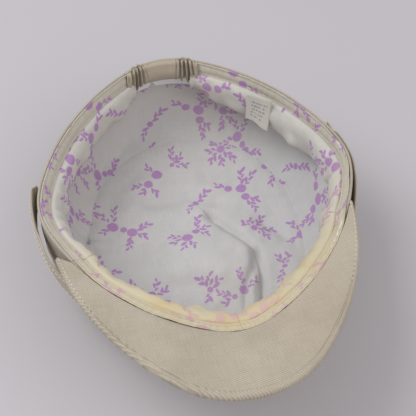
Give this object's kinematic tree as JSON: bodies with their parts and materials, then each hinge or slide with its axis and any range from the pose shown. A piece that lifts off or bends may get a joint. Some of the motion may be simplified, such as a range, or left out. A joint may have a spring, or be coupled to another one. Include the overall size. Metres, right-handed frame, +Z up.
{
  "type": "newsboy cap",
  "caption": "Soft newsboy cap lying crown down, with a gored crown, upright band, stiff bent brim, strap across the front, printed lining, sweatband and gathered elastic back.",
  "frame": {"origin": "middle of the crown button's flat outer face, which is level with the face that the crown rests on", "axes": "+Z up out of the head opening as the cap lies crown down, -Y towards the brim, +Y towards the gathered back, +X to the wearer's left side when worn"},
  "size_m": [0.1746, 0.2506, 0.0751],
  "materials": {
    "shell_twill": "beige cotton and linen twill, washed, matt",
    "printed_lining": "white cotton voile with a small lilac sprig print, matt",
    "sweatband_cotton": "padded printed white cotton, yellowed towards the front",
    "interfacing": "stiff non-woven interfacing",
    "elastic_webbing": "knitted elastic, matt",
    "brim_board_plastic": "thin bendable plastic brim board",
    "button_shell": "pressed metal button blank",
    "label_satin": "white satin tape with faint grey marks",
    "sewing_thread": "beige polyester thread"
  },
  "bodies": {
    "cap": {"crown_panel_1": "shell_twill", "crown_panel_2": "shell_twill", "crown_panel_3": "shell_twill", "crown_panel_4": "shell_twill", "crown_panel_5": "shell_twill", "crown_panel_6": "shell_twill", "crown_panel_7": "shell_twill", "crown_panel_8": "shell_twill", "button_cover": "shell_twill", "button_core": "button_shell", "lining_side_left": "printed_lining", "lining_side_right": "printed_lining", "lining_top": "printed_lining", "band_outer_left": "shell_twill", "band_outer_right": "shell_twill", "band_stiffener": "interfacing", "rim_facing": "printed_lining", "sweatband": "sweatband_cotton", "elastic_casing_outer": "shell_twill", "back_elastic": "elastic_webbing", "elastic_casing_inner": "shell_twill"},
    "brim": {"brim_under_cover": "shell_twill", "brim_board": "brim_board_plastic", "brim_top_cover": "shell_twill"},
    "strap": {"front_strap": "shell_twill", "strap_tack_left": "sewing_thread", "strap_tack_right": "sewing_thread"},
    "label": {"care_label": "label_satin"}
  },
  "joints": [
    {"name": "brim_tilt", "type": "hinge", "parent": "cap", "child": "brim", "pos_m": [0, -0.035, 0.068], "axis": [-1, 0, 0], "range_deg": [0, 10]},
    {"name": "strap_swing", "type": "hinge", "parent": "cap", "child": "strap", "pos_m": [0, 0.014, 0.051], "axis": [1, 0, 0], "range_deg": [0, 1.5]},
    {"name": "label_flip", "type": "hinge", "parent": "cap", "child": "label", "pos_m": [0.0527, 0.0537, 0.062], "axis": [0.6561, -0.7547, 0], "range_deg": [-70, 0]}
  ]
}
